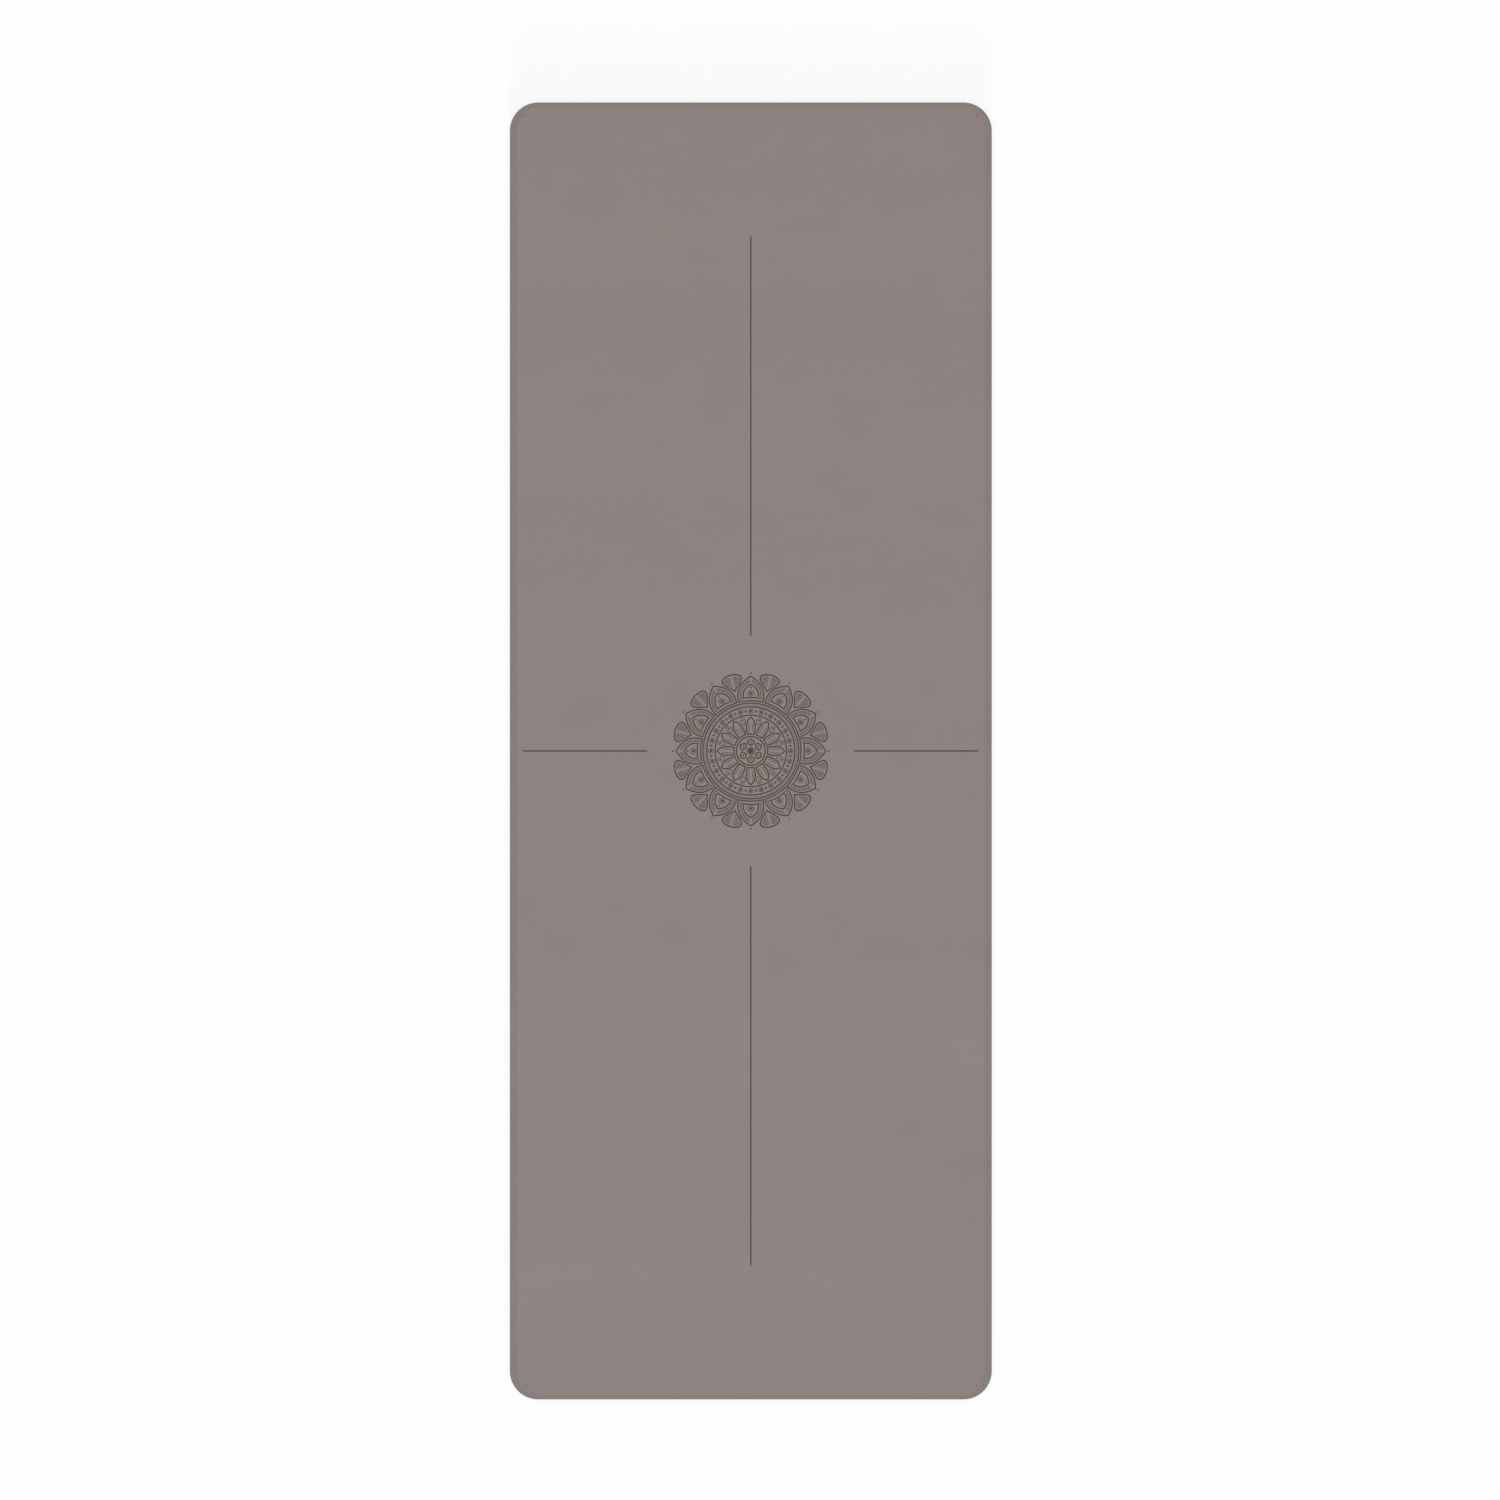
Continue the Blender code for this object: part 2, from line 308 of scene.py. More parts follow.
def join_rings(bm, lower, upper):
    """The faces between two rings with as many vertices each."""
    faces = []
    for number in range(len(lower)):
        after = (number + 1) % len(lower)
        faces.append(bm.faces.new((lower[number], lower[after], upper[after], upper[number])))
    return faces


def rounded_edge(bm, ring, radius, height_after):
    """Carries the ring round to the outline in steps. Gives each step's faces and last ring.

    height_after says how high a point is that started at one height and has turned so far.
    """
    start = [vert.co.z for vert in ring]
    out_before = 0
    faces = []
    for step in range(1, EDGE_ROUND_STEPS + 1):
        angle = step / EDGE_ROUND_STEPS * math.pi / 2
        out = math.sin(angle) * radius
        turned = (1 - math.cos(angle)) * radius
        heights = [height_after(height, turned) for height in start]
        upper = ring_over(bm, ring, heights, out - out_before)
        faces.append(join_rings(bm, ring, upper))
        ring, out_before = upper, out
    return faces, ring


def fill_ring(bm, ring, height):
    """Closes a ring of vertices with triangles over the mat's net of points."""
    points = [vert.co.xy for vert in ring] + net_inside(NET_SPACING / 2)
    plan, faces, origins = triangles(points, [], len(ring))
    verts = []
    for point, origin in zip(plan, origins):
        verts.append(ring[origin] if origin < len(ring) else bm.verts.new((*point, height)))
    return [bm.faces.new([verts[number] for number in face]) for face in faces]


def finished_piece(name, bm, material):
    """The shape as an object, lifted with the mat's waves, smooth but for its real edges."""
    for vert in bm.verts:
        vert.co.z += lift(*vert.co.xy) * ROLL_WAVE_HEIGHT
    bmesh.ops.recalc_face_normals(bm, faces=bm.faces)
    mesh = bpy.data.meshes.new(name)
    bm.to_mesh(mesh)
    bm.free()
    mesh.shade_smooth()
    mesh.set_sharp_from_angle(angle=SHARP_ANGLE)
    mesh.materials.append(material)
    piece = bpy.data.objects.new(name, mesh)
    scene.collection.objects.link(piece)
    return piece


def hexagon(middle, pitch):
    """The corners of a hexagon that measures this much from side to side."""
    points = []
    for corner in range(6):
        angle = (corner + 0.5) * math.pi / 3
        way = Vector((math.cos(angle), math.sin(angle)))
        points.append(middle + way * pitch / math.sqrt(3))
    return points


def grip_depth(x, y):
    """How deep the grip is moulded into the base's underside here."""
    row_spacing = GRIP_PITCH * math.sqrt(3) / 2
    nearest = None
    for row in (math.floor(y / row_spacing), math.ceil(y / row_spacing)):
        shift = row % 2 / 2
        column = round(x / GRIP_PITCH - shift)
        way = Vector((x - (column + shift) * GRIP_PITCH, y - row * row_spacing))
        if nearest is None or way.length < nearest.length:
            nearest = way
    sixth = Vector((0.5, math.sqrt(3) / 2))
    reach = max(abs(nearest.x), abs(nearest.dot(sixth)), abs(nearest.dot(sixth * Vector((1, -1)))))
    share = (reach * 2 - GRIP_PITCH + GRIP_GROOVE) / GRIP_GROOVE
    return GRIP_DEPTH * max(0, min(1, share))


def honeycomb(bm, rim):
    """The underside: raised hexagons with grooves between them, cut off at the rim."""
    row_spacing = GRIP_PITCH * math.sqrt(3) / 2
    rows = math.ceil(mat_length / 2 / row_spacing) + 1
    columns = math.ceil(mat_width / 2 / GRIP_PITCH) + 1
    points = list(rim)
    lines = []
    shared = {}
    for row in range(-rows, rows + 1):
        for column in range(-columns, columns + 1):
            middle = Vector(((column + row % 2 / 2) * GRIP_PITCH, row * row_spacing))
            if from_core(*middle).length > CORNER_RADIUS + GRIP_PITCH:
                continue
            lines += closed_lines(len(points), 6)
            points += hexagon(middle, GRIP_PITCH - GRIP_GROOVE)
            # Neighbours meet in corners that are the same to half a groove's width
            loop = []
            for corner in hexagon(middle, GRIP_PITCH):
                key = (round(corner.x / GRIP_GROOVE * 2), round(corner.y / GRIP_GROOVE * 2))
                if key not in shared:
                    shared[key] = len(points)
                    points.append(corner)
                loop.append(shared[key])
            lines += zip(loop, [*loop[1:], loop[0]])
    plan, faces, _ = triangles(points, lines, len(rim))
    groove = bm.verts.layers.float.new("groove")
    verts = {}
    for face in faces:
        for number in face:
            if number not in verts:
                depth = grip_depth(*plan[number])
                verts[number] = bm.verts.new((*plan[number], base_low.z + depth))
                verts[number][groove] = depth / GRIP_DEPTH
        bm.faces.new([verts[number] for number in face])


def open_ring(bm):
    """The vertices along the one open edge of a shape, in order."""
    follows = {}
    for edge in bm.edges:
        if edge.is_boundary:
            a, b = edge.verts
            follows.setdefault(a, []).append(b)
            follows.setdefault(b, []).append(a)
    start = next(iter(follows))
    ring = [start]
    before, here = start, follows[start][0]
    while here != start:
        ring.append(here)
        before, here = here, next(vert for vert in follows[here] if vert != before)
    return ring


def new_group(name, inputs, outputs):
    """An empty node group with these sockets, and its two end nodes."""
    group = bpy.data.node_groups.new(name, "ShaderNodeTree")
    for direction, sockets in (("INPUT", inputs), ("OUTPUT", outputs)):
        for socket, kind in sockets.items():
            group.interface.new_socket(socket, in_out=direction, socket_type="NodeSocket" + kind)
    return group, new_node(group, "NodeGroupInput"), new_node(group, "NodeGroupOutput")


# Slow change of tone over a moulded or coated sheet, from its mixing and its cure. The spread
# says how far red, green and blue go with it, so that unlike spreads change the hue.
CLOUD_DETAIL = 3.0
CLOUD_ROUGHNESS = 0.55
CLOUD_MIDDLE = 0.5

soft_tone, given, result = new_group(
    "soft_tone",
    {"Colour": "Color", "Patch Size": "Vector", "Spread": "Vector"},
    {"Colour": "Color"},
)
place = new_node(soft_tone, "ShaderNodeTexCoord")
patches = new_node(soft_tone, "ShaderNodeVectorMath", {"operation": "DIVIDE"})
clouds = new_node(
    soft_tone, "ShaderNodeTexNoise", Scale=1.0, Detail=CLOUD_DETAIL, Roughness=CLOUD_ROUGHNESS
)
around_zero = new_node(soft_tone, "ShaderNodeMath", {"operation": "SUBTRACT"})
around_zero.inputs[1].default_value = CLOUD_MIDDLE
change = new_node(soft_tone, "ShaderNodeVectorMath", {"operation": "SCALE"})
toned = new_node(soft_tone, "ShaderNodeVectorMath", {"operation": "MULTIPLY_ADD"})
link(soft_tone, (place, "Object"), (patches, 0))
link(soft_tone, (given, "Patch Size"), (patches, 1))
link(soft_tone, (patches, 0), (clouds, "Vector"))
link(soft_tone, (clouds, 0), (around_zero, 0))
link(soft_tone, (given, "Spread"), (change, 0))
link(soft_tone, (around_zero, 0), (change, "Scale"))
link(soft_tone, (given, "Colour"), (toned, 0))
link(soft_tone, (change, 0), (toned, 1))
link(soft_tone, (given, "Colour"), (toned, 2))
link(soft_tone, (toned, 0), (result, "Colour"))

# Small pits between rounded lands, as in foamed rubber and on a coated skin. They are wide
# in some places and close up in others. Their floor and their widths are in pore sizes.
PORE_ROUNDNESS = 0.6
PORE_FLOOR = 0.10
PORE_WIDTHS = (0.12, 0.80)
PORE_PATCH_RANGE = (0.32, 0.68)
PORE_PATCH_DETAIL = 1.0
PORES_ACROSS_PATCH = 2.2

fine_pores, given, result = new_group(
    "fine_pores", {"Pore Size": "Float"}, {"Height": "Float", "Pit": "Float"}
)
place = new_node(fine_pores, "ShaderNodeTexCoord")
pores_a_metre = new_node(fine_pores, "ShaderNodeMath", {"operation": "DIVIDE"})
pores_a_metre.inputs[0].default_value = 1.0
cells = new_node(
    fine_pores, "ShaderNodeTexVoronoi", {"feature": "SMOOTH_F1"}, Smoothness=PORE_ROUNDNESS
)
pits = new_node(
    fine_pores,
    "ShaderNodeMapRange",
    {"interpolation_type": "SMOOTHSTEP"},
    From_Min=PORE_FLOOR,
    To_Min=1.0,
    To_Max=0.0,
)
patches_a_metre = new_node(fine_pores, "ShaderNodeMath", {"operation": "DIVIDE"})
patches_a_metre.inputs[1].default_value = PORES_ACROSS_PATCH
width_patches = new_node(fine_pores, "ShaderNodeTexNoise", Detail=PORE_PATCH_DETAIL)
widths = new_node(
    fine_pores,
    "ShaderNodeMapRange",
    From_Min=PORE_PATCH_RANGE[0],
    From_Max=PORE_PATCH_RANGE[1],
    To_Min=PORE_WIDTHS[0],
    To_Max=PORE_WIDTHS[1],
)
lands = new_node(fine_pores, "ShaderNodeMath", {"operation": "SUBTRACT"})
lands.inputs[0].default_value = 1.0
link(fine_pores, (given, "Pore Size"), (pores_a_metre, 1))
link(fine_pores, (place, "Object"), (cells, "Vector"))
link(fine_pores, (pores_a_metre, 0), (cells, "Scale"))
link(fine_pores, (cells, "Distance"), (pits, "Value"))
link(fine_pores, (pores_a_metre, 0), (patches_a_metre, 0))
link(fine_pores, (place, "Object"), (width_patches, "Vector"))
link(fine_pores, (patches_a_metre, 0), (width_patches, "Scale"))
link(fine_pores, (width_patches, 0), (widths, "Value"))
link(fine_pores, (widths, 0), (pits, "From Max"))
link(fine_pores, (pits, 0), (lands, 1))
link(fine_pores, (lands, 0), (result, "Height"))
link(fine_pores, (pits, 0), (result, "Pit"))


def placed_group(tree, group, **inputs):
    return new_node(tree, "ShaderNodeGroup", {"node_tree": group}, **inputs)


def mixed_colour(tree, factor, first, second, way="MIX"):
    """A colour mix. Each of the three is a value or a node with its socket's name or number."""
    node = new_node(tree, "ShaderNodeMix", {"data_type": "RGBA", "blend_type": way})
    for socket, source in (("Factor", factor), ("A", first), ("B", second)):
        if isinstance(source, tuple) and isinstance(source[0], bpy.types.Node):
            link(tree, source, (node, socket))
        else:
            node.inputs[socket].default_value = source
    return node, "Result"


def level_between(tree, source, low, high):
    """A value that runs from low to high as the source runs from 0 to 1."""
    node = new_node(tree, "ShaderNodeMapRange", To_Min=low, To_Max=high)
    link(tree, source, (node, "Value"))
    return node, 0


def bumped(tree, source, depth):
    node = new_node(tree, "ShaderNodeBump", Strength=1.0, Distance=depth)
    link(tree, source, (node, "Height"))
    return node, 0


def new_finish(name):
    """A material, its node tree and its one Principled shader."""
    material = bpy.data.materials.new(name)
    material.use_nodes = True
    return material, material.node_tree, material.node_tree.nodes["Principled BSDF"]


# The hexagons are rubbed paler, and the grooves between them are darkened as painted shade.
# Each tone multiplies the colour, and the roughness runs from the lands to the pits.
RUBBER_COLOUR = (0.034, 0.032, 0.031, 1)
RUBBER_PIT_COLOUR = (0.016, 0.015, 0.015, 1)
RUBBER_HEXAGON_TONE = 1.65
RUBBER_GROOVE_SHADE = 0.30
RUBBER_PATCH = (0.06, 0.06, 0.06)
RUBBER_SPREAD = (0.5, 0.5, 0.5)
RUBBER_PORE = 0.0007
RUBBER_PORE_DEPTH = 0.00006
RUBBER_ROUGHNESS = (0.78, 0.95)

foam_rubber, tree, shader = new_finish("foam_rubber")
clouds = placed_group(
    tree, soft_tone, Colour=RUBBER_COLOUR, Patch_Size=RUBBER_PATCH, Spread=RUBBER_SPREAD
)
pores = placed_group(tree, fine_pores, Pore_Size=RUBBER_PORE)
in_groove = new_node(tree, "ShaderNodeAttribute", {"attribute_name": "groove"})
# Paler rubbed hexagons, and painted shade that darkens the grooves by their depth
rubbed_and_groove_shade = level_between(tree, (in_groove, "Fac"), RUBBER_HEXAGON_TONE, RUBBER_GROOVE_SHADE)
worn_and_groove_shade = new_node(tree, "ShaderNodeVectorMath", {"operation": "SCALE"})
link(tree, (clouds, 0), (worn_and_groove_shade, 0))
link(tree, rubbed_and_groove_shade, (worn_and_groove_shade, "Scale"))
link(tree, mixed_colour(tree, (pores, "Pit"), (worn_and_groove_shade, 0), RUBBER_PIT_COLOUR), (shader, "Base Color"))
link(tree, level_between(tree, (pores, "Pit"), *RUBBER_ROUGHNESS), (shader, "Roughness"))
link(tree, bumped(tree, (pores, "Height"), RUBBER_PORE_DEPTH), (shader, "Normal"))

bm = bmesh.new()
honeycomb(bm, outline(BASE_EDGE_ROUND))
_, ring = rounded_edge(
    bm, open_ring(bm), BASE_EDGE_ROUND, lambda height, turned: max(height, base_low.z + turned)
)
upper = ring_over(bm, ring, [base_high.z] * len(ring))
join_rings(bm, ring, upper)
fill_ring(bm, upper, base_high.z)
foam_rubber_base = finished_piece("foam_rubber_base", bm, foam_rubber)
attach(foam_rubber_base, "root")
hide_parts("rubber_base")


# Fabric backing: an open plain weave that the skin is coated onto, so that it can't stretch.
# It is glued to the rubber, and the die leaves the ends of its threads a little uneven.
THREAD_PITCH = 0.0024
THREAD_POINTS = 4
THREAD_WAVER = 0.3

# The ends lie back by up to this much: the gaps between threads have this share of it, and
# the rest goes by two unlike turns, in radians a thread, which make the ends uneven
THREAD_DRAW_BACK = 0.00025
THREAD_GAP_SHARE = 0.6
THREAD_TURNS = (2.4, 0.7)

# The gaps between the threads are painted darker as shade, and the roughness runs from the gaps to the
# threads
FABRIC_COLOUR = (0.330, 0.312, 0.295, 1)
FABRIC_GAP_SHADE = (0.185, 0.174, 0.165, 1)
FABRIC_PATCH = (0.02, 0.02, 0.02)
FABRIC_SPREAD = (0.25, 0.25, 0.25)
FABRIC_RELIEF = 0.00012
FABRIC_ROUGHNESS = (0.98, 0.86)

# At a scale of 1, Blender's wave texture has this many waves a metre
WAVES_A_METRE = 20 / math.tau

backing_low, backing_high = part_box("fabric_backing")


def thread_ends():
    """The backing's outline: each thread's end stands proud of the gaps beside it."""
    first_turn, second_turn = THREAD_TURNS
    points = outline(cad_high.x - backing_high.x, spacing=THREAD_PITCH / THREAD_POINTS)
    ends = []
    for number, point in enumerate(points):
        gap = 0.5 - 0.5 * math.cos(math.tau * number / THREAD_POINTS)
        thread = number // THREAD_POINTS
        uneven = 0.5 + 0.5 * math.sin(thread * first_turn) * math.sin(thread * second_turn)
        back = THREAD_DRAW_BACK * (THREAD_GAP_SHARE * gap + (1 - THREAD_GAP_SHARE) * uneven)
        ends.append(point - from_core(*point).normalized() * back)
    return ends


woven_fabric, tree, shader = new_finish("woven_backing")
place = new_node(tree, "ShaderNodeTexCoord")
threads = []
for way in ("X", "Y"):
    thread_wave = new_node(
        tree,
        "ShaderNodeTexWave",
        {"bands_direction": way, "wave_profile": "SIN"},
        Scale=1 / THREAD_PITCH / WAVES_A_METRE,
        Distortion=THREAD_WAVER,
    )
    link(tree, (place, "Object"), (thread_wave, "Vector"))
    threads.append((thread_wave, "Fac"))
over = new_node(tree, "ShaderNodeMath", {"operation": "MAXIMUM"})
link(tree, threads[0], (over, 0))
link(tree, threads[1], (over, 1))
clouds = placed_group(
    tree, soft_tone, Colour=FABRIC_COLOUR, Patch_Size=FABRIC_PATCH, Spread=FABRIC_SPREAD
)
# Painted shade in the gaps between the threads
link(tree, mixed_colour(tree, (over, 0), FABRIC_GAP_SHADE, (clouds, 0)), (shader, "Base Color"))
link(tree, level_between(tree, (over, 0), *FABRIC_ROUGHNESS), (shader, "Roughness"))
link(tree, bumped(tree, (over, 0), FABRIC_RELIEF), (shader, "Normal"))

bm = bmesh.new()
lower = ring_of(bm, thread_ends(), backing_low.z)
upper = ring_over(bm, lower, [backing_high.z] * len(lower))
join_rings(bm, lower, upper)
fill_ring(bm, lower, backing_low.z)
fill_ring(bm, upper, backing_high.z)
woven_backing = finished_piece("woven_backing", bm, woven_fabric)
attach(woven_backing, "root")
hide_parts("fabric_backing")


# Polyurethane skin: a smooth matte sheet cast on the fabric. Its rim is pressed a little
# lower, and a laser burns the alignment lines and the rosette into it as shallow grooves.
SKIN_EDGE_ROUND = 0.0003
ETCH_DEPTH = 0.0003
ETCH_WALL_SHARE = 0.15
LINE_WIDTH = 0.0018
LONG_LINE_CLEARANCE = 0.0510
LONG_LINE_END_MARGIN = 0.1890
CROSS_LINE_CLEARANCE = 0.0345
CROSS_LINE_SIDE_MARGIN = 0.0190
LINE_STEP = 0.010
NET_TO_RIM = 0.015
NET_TO_LINE = 0.0036

# The pressed rim: its width at the sides and at the ends, how low it lies, and its profile
# as places across the rim with the depth and the darkness there as shares. The darkness is
# partly the pressed skin and partly painted shade on the rim's slope and cut edge
RIM_SIDE_WIDTH = 0.0100
RIM_END_WIDTH = 0.0062
RIM_DROP = 0.00025
RIM_PROFILE_SHARES = (
    (0.12, 1.0, 1.0),
    (0.30, 1.0, 1.0),
    (0.82, 0.85, 1.0),
    (0.92, 1.0, 1.0),
    (1.10, 0.0, 0.0),
    (1.20, 0.0, 0.0),
)

# The pins that hold the mat while it is cut leave a small dent in each corner
PIN_MARK_RADIUS = 0.0015
PIN_MARK_SIDE_MARGIN = 0.0215
PIN_MARK_END_MARGIN = 0.0190
PIN_MARK_BURN = 0.35

# The rosette: real widths of its strokes and marks, and the rest as shares of its radius
ROSETTE_RADIUS = 0.1115
STROKE_WIDTH = 0.0018
HAIR_WIDTH = 0.0009
MOTIF_GAP = 0.0012
PETAL_COUNT = 12
BEAD_COUNT = 24
SEED_LEAF_COUNT = 6
ROPE_DASH_COUNT = 120
BEAD_RADIUS = 0.0019
BEAD_RING_RADIUS = 0.0039
SEED_RADIUS = 0.0041
SEED_RING_RADIUS = 0.0059
DOT_RADIUS = 0.0012
RAY_COUNT = 12
RAY_LENGTH = 0.0017
LOZENGE_LENGTH = 0.0064
LOZENGE_WIDTH = 0.0030
LOZENGE_DRAWN_IN_SHARE = 0.62
STROKE_END_SHARE = 0.65
ROUND_STEP = 0.0030
LEAST_ROUND_STEPS = 12
PETAL_STEPS = 18
LEAF_STEPS = 16

# Outer radii of the rings, then the places of beads and dots along a radius
RING_SHARES = (0.614, 0.566, 0.460, 0.190)
BEAD_ROW_SHARE = 0.505
HEART_BEAD_SHARE = 0.725
HEART_DOT_SHARE = 0.802
TIP_DOT_SHARE = 0.984
LEAF_DOT_SHARE = 0.395
SEED_DOT_SHARE = 0.110

# Petals and leaves: base and tip, then the width as a share of one petal's room. A petal's
# last two say how long it stays full and how it closes, a leaf's how it swells and closes.
FRONT_PETAL_SHARES = (0.627, 0.955, 1.00, 2.4, 1.00)
FRONT_HEART_SHARES = (0.669, 0.850, 0.60, 2.4, 0.90)
MIDDLE_PETAL_SHARES = (0.206, 0.435, 1.00, 2.2, 0.80)
BETWEEN_LEAF_SHARES = (0.330, 0.438, 0.34, 1.1, 1.20)
BACK_LEAF_SHARES = (0.765, 1.000, 0.54, 1.25, 0.50)
SEED_LEAF_SHARES = (0.060, 0.160, 1.80, 1.1, 1.20)
POINTED_CROWDING = 1.2
ROUND_CROWDING = 2.0

# Veins rise from the middle of a petal or leaf to its sides, and bend up on the way
VEIN_SPACING = 0.0022
VEIN_SLOPE = 0.35
VEIN_BEND = 18.0
VEIN_CLEARANCE = 0.0006
VEIN_STEP = 0.0002
SHORTEST_VEIN = 0.0017

# Where an outline is drawn in, a point is left out that comes nearer to a side than this
# share of the distance, or nearer than this to the point before it
INSET_TOLERANCE_SHARE = 0.98
SHORTEST_SIDE = 0.00002

skin_low, skin_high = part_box("polyurethane_skin")


def point_at(radius, angle):
    return Vector((radius * math.cos(angle), radius * math.sin(angle)))


def circle(radius, centre=Vector((0, 0))):
    steps = max(LEAST_ROUND_STEPS, 2 * math.ceil(math.pi * radius / ROUND_STEP))
    return [centre + point_at(radius, math.tau * step / steps) for step in range(steps)]


def depth_inside(point, loop):
    """How far a point lies inside a closed outline, or as a negative value outside it."""
    nearest = math.inf
    inside = False
    for start, end in zip(loop, [*loop[1:], loop[0]]):
        side = end - start
        along = max(0, min(1, (point - start).dot(side) / side.dot(side)))
        nearest = min(nearest, (point - start - side * along).length)
        if (start.y > point.y) != (end.y > point.y):
            if point.x < start.x + side.x * (point.y - start.y) / side.y:
                inside = not inside
    return nearest if inside else -nearest


def inset(loop, distance):
    """The anticlockwise loop drawn in by distance, without the points that come too near a side."""
    moved = []
    for number, point in enumerate(loop):
        before = (point - loop[number - 1]).normalized()
        after = (loop[(number + 1) % len(loop)] - point).normalized()
        inward = Vector((-before.y - after.y, before.x + after.x))
        drawn_in = point + inward * distance / (1 + before.dot(after))
        if moved and (drawn_in - moved[-1]).length < SHORTEST_SIDE:
            continue
        if depth_inside(drawn_in, loop) > distance * INSET_TOLERANCE_SHARE:
            moved.append(drawn_in)
    if (moved[0] - moved[-1]).length < SHORTEST_SIDE:
        moved.pop()
    return moved


def petal_half_angle(shares, radius):
    """Half the angle that a petal is wide at this radius."""
    base, tip, width, full, close = shares
    along = (radius / ROSETTE_RADIUS - base) / (tip - base)
    room = math.pi / PETAL_COUNT - MOTIF_GAP / 2 / radius
    return room * width * (1 - along**full) ** close


def leaf_half_angle(shares, radius):
    """Half the angle that a leaf is wide at this radius."""
    base, tip, width, swell, close = shares
    along = (radius / ROSETTE_RADIUS - base) / (tip - base)
    widest = swell / (swell + close)
    peak = widest**swell * (1 - widest) ** close
    return math.pi / PETAL_COUNT * width * along**swell * (1 - along) ** close / peak


def motif_outline(shares, half_angle, steps, crowding=POINTED_CROWDING):
    """A petal that stands on a round base, or a leaf that is closed to a point there.

    The more crowding, the closer its points lie towards the tip.
    """
    base, tip = (share * ROSETTE_RADIUS for share in shares[:2])
    middle = math.pi / 2
    right, left = [], []
    for step in range(1, steps):
        radius = tip - (tip - base) * (1 - step / steps) ** crowding
        half = half_angle(shares, radius)
        right.append(point_at(radius, middle - half))
        left.append(point_at(radius, middle + half))
    foot = [point_at(base, middle)]
    if half_angle is petal_half_angle:
        corner = half_angle(shares, base)
        foot_steps = math.ceil(2 * corner * base / ROUND_STEP)
        shifts = [corner * (1 - 2 * step / foot_steps) for step in range(foot_steps + 1)]
        foot = [point_at(base, middle + shift) for shift in shifts]
    return [*foot, *right, point_at(tip, middle), *reversed(left)]


def ribbon(points, width):
    """The closed outline of a short stroke along the points, finer at its two ends."""
    right, left = [], []
    for number, point in enumerate(points):
        way = points[min(number + 1, len(points) - 1)] - points[max(number - 1, 0)]
        across = Vector((way.y, -way.x)).normalized()
        full = math.sin(math.pi * number / (len(points) - 1))
        half = width / 2 * (STROKE_END_SHARE + (1 - STROKE_END_SHARE) * full)
        right.append(point + across * half)
        left.append(point - across * half)
    return [*right, *reversed(left)]


def straight_line(start, end):
    """The closed outline of an alignment line, with points close enough to follow a wave."""
    way = (end - start).normalized()
    across = Vector((way.y, -way.x)) * LINE_WIDTH / 2
    steps = math.ceil((end - start).length / LINE_STEP)
    there = [start + across + (end - start) * step / steps for step in range(steps + 1)]
    return there + [point - 2 * across for point in reversed(there)]


def turned(loop, angle):
    """The points turned round the rosette's middle."""
    turn = Matrix.Rotation(angle, 2)
    return [turn @ point for point in loop]


# Every plan point of the use face, with how far it is sunk, how burnt it is, and the rim
bm = bmesh.new()
burn_layer = bm.loops.layers.float.new("burn")
rim_layer = bm.verts.layers.float.new("rim")
crest_layer = bm.verts.layers.float.new("crest")
rim_ring = ring_of(bm, outline(SKIN_EDGE_ROUND), skin_high.z - RIM_DROP)
plan_points = [vert.co.xy for vert in rim_ring]
plan_marks = [(RIM_DROP, 0, 1)] * len(plan_points)
plan_lines = []


def add_plan_loop(points, sunk, burn, rim):
    """Adds a closed line to the plan, all of its points alike in depth, burn and rim."""
    plan_lines.extend(closed_lines(len(plan_points), len(points)))
    plan_points.extend(points)
    plan_marks.extend([(sunk, burn, rim)] * len(points))


def etch(loop, width, count=1, first_turn=0, outlined=True, burn=1):
    """Etches a stroke along the inside of a loop, or all of it, and again round the middle."""
    wall = width * ETCH_WALL_SHARE
    levels = [(loop, 0), (inset(loop, wall), 1)]
    if outlined:
        levels += [(inset(loop, width - wall), 1), (inset(loop, width), 0)]
    for number in range(count):
        angle = first_turn + math.tau * number / count
        for level, sunk in levels:
            add_plan_loop(turned(level, angle), sunk * ETCH_DEPTH, sunk * burn, 0)


def etch_veins(motif, count, first_turn=0, heart=None):
    """Fine strokes inside a motif that points up the mat, copied round with it."""
    near_side = STROKE_WIDTH + VEIN_CLEARANCE + HAIR_WIDTH / 2
    low = min(point.y for point in motif)
    high = max(point.y for point in motif)
    # The first veins start below the motif, because they reach its sides higher up
    start_height = low - (high - low) / 2
    while start_height < high:
        runs = [[]]
        across = VEIN_CLEARANCE + HAIR_WIDTH
        while across < high - low:
            point = Vector((across, start_height + VEIN_SLOPE * across + VEIN_BEND * across**2))
            free = depth_inside(point, motif) > near_side
            if heart:
                free = free and depth_inside(point, heart) < -VEIN_CLEARANCE - HAIR_WIDTH / 2
            if free:
                runs[-1].append(point)
            elif runs[-1]:
                runs.append([])
            across += VEIN_STEP
        for run in runs:
            if len(run) * VEIN_STEP > SHORTEST_VEIN:
                right = ribbon([run[0], run[len(run) // 2], run[-1]], HAIR_WIDTH)
                left = [Vector((-point.x, point.y)) for point in reversed(right)]
                etch(right, HAIR_WIDTH, count, first_turn, outlined=False)
                etch(left, HAIR_WIDTH, count, first_turn, outlined=False)
        start_height += VEIN_SPACING


def up_at(share):
    """The plan point at this share of the rosette's radius, towards the head of the mat."""
    return Vector((0, share * ROSETTE_RADIUS))


def lozenge(centre):
    """A long diamond whose four sides are drawn in a little."""
    points = []
    for corner in range(8):
        reach = LOZENGE_DRAWN_IN_SHARE / 2 if corner % 2 else 1 / 2
        way = point_at(reach, corner * math.pi / 4)
        points.append(centre + Vector((LOZENGE_WIDTH * way.x, LOZENGE_LENGTH * way.y)))
    return points


